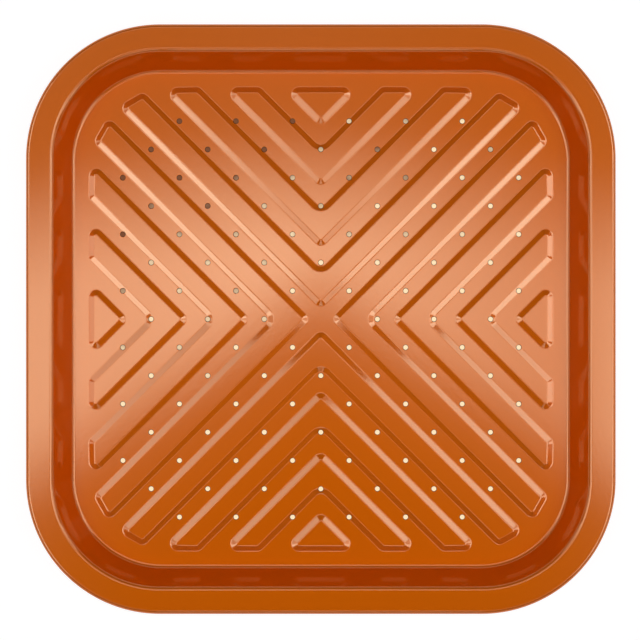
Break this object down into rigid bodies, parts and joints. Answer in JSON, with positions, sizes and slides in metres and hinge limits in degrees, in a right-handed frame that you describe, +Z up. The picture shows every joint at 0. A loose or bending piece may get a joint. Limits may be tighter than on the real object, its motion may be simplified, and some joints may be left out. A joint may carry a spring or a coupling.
{
  "type": "crisper pan",
  "caption": "Square sheet-steel oven pan with rounded corners, a perforated floor of raised chevron ribs, sloping sides, a flat flange and a wire-rolled rim, for crisping food with hot air.",
  "frame": {"origin": "middle of the flat underside that the pan stands on", "axes": "+Z up out of the pan's mouth, X and Y along its straight sides"},
  "size_m": [0.33, 0.33, 0.021],
  "materials": {
    "copper_coat": "satin copper-coloured metallic non-stick coat on sheet steel",
    "wire_steel": "drawn steel wire"
  },
  "bodies": {
    "root": {"pan_shell": "copper_coat", "rim_wire": "wire_steel"}
  },
  "joints": []
}
